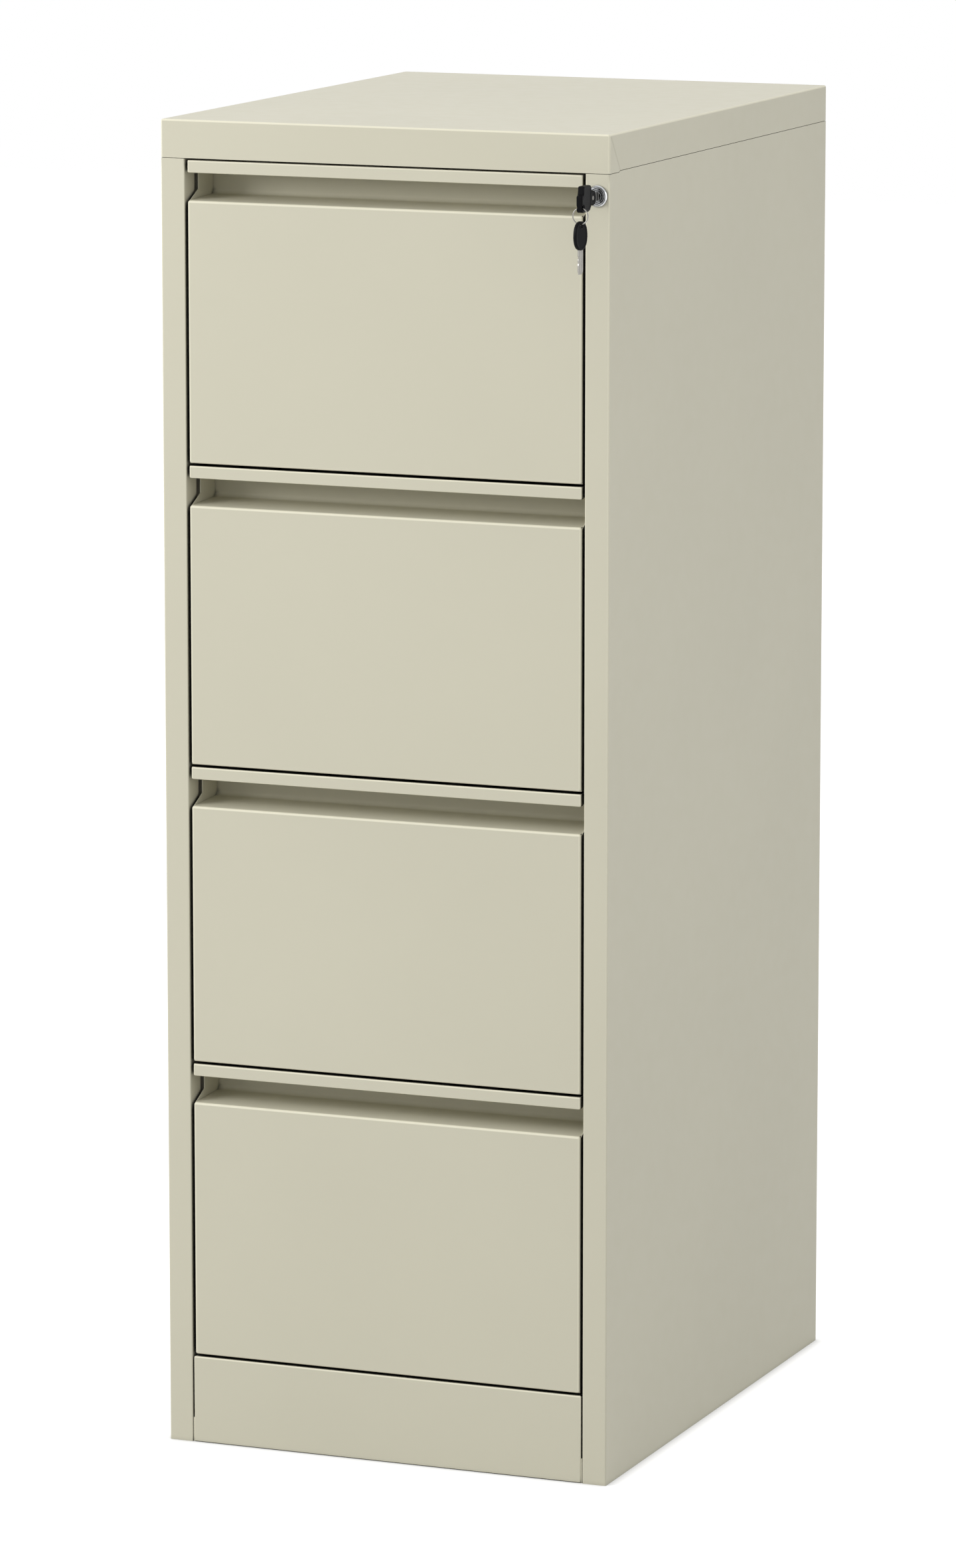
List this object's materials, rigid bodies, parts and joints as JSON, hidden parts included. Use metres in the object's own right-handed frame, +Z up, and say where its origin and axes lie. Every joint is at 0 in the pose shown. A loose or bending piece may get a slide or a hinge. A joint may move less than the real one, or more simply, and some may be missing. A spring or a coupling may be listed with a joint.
{
  "type": "filing cabinet",
  "caption": "Upright steel filing cabinet with deep drawers on ball slides, full-width recessed handles, a gang lock in the right stile and a folding key with a spare on its ring.",
  "frame": {"origin": "on the floor under the middle of the cabinet: the underside of the base pan, midway between the outer faces of the side panels and midway between the drawers' front face and the back", "axes": "+X to the right as seen from the front, +Y to the back and +Z up; the drawers face -Y and pull out along -Y"},
  "size_m": [0.47, 0.675, 1.33],
  "materials": {
    "cabinet_paint": "satin powder coat, warm light grey",
    "slide_zinc": "bright zinc plate",
    "lock_steel": "zinc plate",
    "lock_chrome": "turned and polished nickel",
    "key_black": "black, half gloss",
    "key_steel": "milled key steel",
    "ring_steel": "bright spring wire",
    "guide_nylon": "natural nylon"
  },
  "bodies": {
    "cabinet": {"top_cap": "cabinet_paint", "left_side_panel": "cabinet_paint", "right_side_panel": "cabinet_paint", "back_panel": "cabinet_paint", "base_pan": "cabinet_paint", "kick_plate": "cabinet_paint", "front_cross_rails": "cabinet_paint", "left_front_upright": "cabinet_paint", "left_rear_upright": "cabinet_paint", "right_front_upright": "cabinet_paint", "right_rear_upright": "cabinet_paint", "slide_outer_1": "slide_zinc", "slide_outer_2": "slide_zinc", "slide_outer_3": "slide_zinc", "slide_outer_4": "slide_zinc", "slide_screws": "slide_zinc", "lock_housing": "lock_chrome", "lock_nut": "lock_steel", "lock_bar_guides": "guide_nylon"},
    "drawer_1": {"front_panel_1": "cabinet_paint", "front_backing_1": "cabinet_paint", "drawer_sides_1": "cabinet_paint", "drawer_bottom_1": "cabinet_paint", "drawer_back_1": "cabinet_paint", "hanger_rails_1": "cabinet_paint", "slide_inner_1": "slide_zinc"},
    "slide_carriage_1": {"slide_middle_1": "slide_zinc"},
    "drawer_2": {"front_panel_2": "cabinet_paint", "front_backing_2": "cabinet_paint", "drawer_sides_2": "cabinet_paint", "drawer_bottom_2": "cabinet_paint", "drawer_back_2": "cabinet_paint", "hanger_rails_2": "cabinet_paint", "slide_inner_2": "slide_zinc"},
    "slide_carriage_2": {"slide_middle_2": "slide_zinc"},
    "drawer_3": {"front_panel_3": "cabinet_paint", "front_backing_3": "cabinet_paint", "drawer_sides_3": "cabinet_paint", "drawer_bottom_3": "cabinet_paint", "drawer_back_3": "cabinet_paint", "hanger_rails_3": "cabinet_paint", "slide_inner_3": "slide_zinc"},
    "slide_carriage_3": {"slide_middle_3": "slide_zinc"},
    "drawer_4": {"front_panel_4": "cabinet_paint", "front_backing_4": "cabinet_paint", "drawer_sides_4": "cabinet_paint", "drawer_bottom_4": "cabinet_paint", "drawer_back_4": "cabinet_paint", "hanger_rails_4": "cabinet_paint", "slide_inner_4": "slide_zinc"},
    "slide_carriage_4": {"slide_middle_4": "slide_zinc"},
    "lock_lifter": {"lock_bar": "lock_steel", "lock_bar_hooks": "lock_steel"},
    "lock_core": {"lock_plug": "lock_chrome", "lock_cam": "lock_steel"},
    "lock_key": {"key_blade": "key_steel"},
    "folding_head": {"key_head": "key_black"},
    "ring": {"key_ring": "ring_steel"},
    "spare_key": {"spare_key_head": "key_black", "spare_key_blade": "key_steel"}
  },
  "joints": [
    {"name": "drawer_1_slide", "type": "slide", "parent": "cabinet", "child": "drawer_1", "axis": [0, -1, 0], "range_m": [0, 0.5]},
    {"name": "slide_1_travel", "type": "slide", "parent": "cabinet", "child": "slide_carriage_1", "axis": [0, -1, 0], "range_m": [0, 0.25]},
    {"name": "drawer_2_slide", "type": "slide", "parent": "cabinet", "child": "drawer_2", "axis": [0, -1, 0], "range_m": [0, 0.5]},
    {"name": "slide_2_travel", "type": "slide", "parent": "cabinet", "child": "slide_carriage_2", "axis": [0, -1, 0], "range_m": [0, 0.25]},
    {"name": "drawer_3_slide", "type": "slide", "parent": "cabinet", "child": "drawer_3", "axis": [0, -1, 0], "range_m": [0, 0.5]},
    {"name": "slide_3_travel", "type": "slide", "parent": "cabinet", "child": "slide_carriage_3", "axis": [0, -1, 0], "range_m": [0, 0.25]},
    {"name": "drawer_4_slide", "type": "slide", "parent": "cabinet", "child": "drawer_4", "axis": [0, -1, 0], "range_m": [0, 0.5]},
    {"name": "slide_4_travel", "type": "slide", "parent": "cabinet", "child": "slide_carriage_4", "axis": [0, -1, 0], "range_m": [0, 0.25]},
    {"name": "lock_bar_lift", "type": "slide", "parent": "cabinet", "child": "lock_lifter", "axis": [0, 0, 1], "range_m": [0, 0.01131]},
    {"name": "lock_turn", "type": "hinge", "parent": "cabinet", "child": "lock_core", "pos_m": [0.2225, -0.31, 1.271], "axis": [0, 1, 0], "range_deg": [0, 90]},
    {"name": "key_withdraw", "type": "slide", "parent": "lock_core", "child": "lock_key", "axis": [0, -1, 0], "range_m": [0, 0.03]},
    {"name": "key_fold", "type": "hinge", "parent": "lock_key", "child": "folding_head", "pos_m": [0.2225, -0.328, 1.271], "axis": [-1, 0, 0], "range_deg": [0, 90]},
    {"name": "ring_swing", "type": "hinge", "parent": "folding_head", "child": "ring", "pos_m": [0.2225, -0.3549, 1.26355], "axis": [-1, 0, 0], "range_deg": [-15, 45]},
    {"name": "spare_key_swing", "type": "hinge", "parent": "ring", "child": "spare_key", "pos_m": [0.2225, -0.3549, 1.24815], "axis": [-1, 0, 0], "range_deg": [-15, 45]}
  ],
  "couplings": [
    {"joint": "slide_1_travel", "follows": "drawer_1_slide", "ratio": 0.5},
    {"joint": "slide_2_travel", "follows": "drawer_2_slide", "ratio": 0.5},
    {"joint": "slide_3_travel", "follows": "drawer_3_slide", "ratio": 0.5},
    {"joint": "slide_4_travel", "follows": "drawer_4_slide", "ratio": 0.5},
    {"joint": "lock_turn", "follows": "lock_bar_lift", "rad_per_m": 138.84}
  ]
}
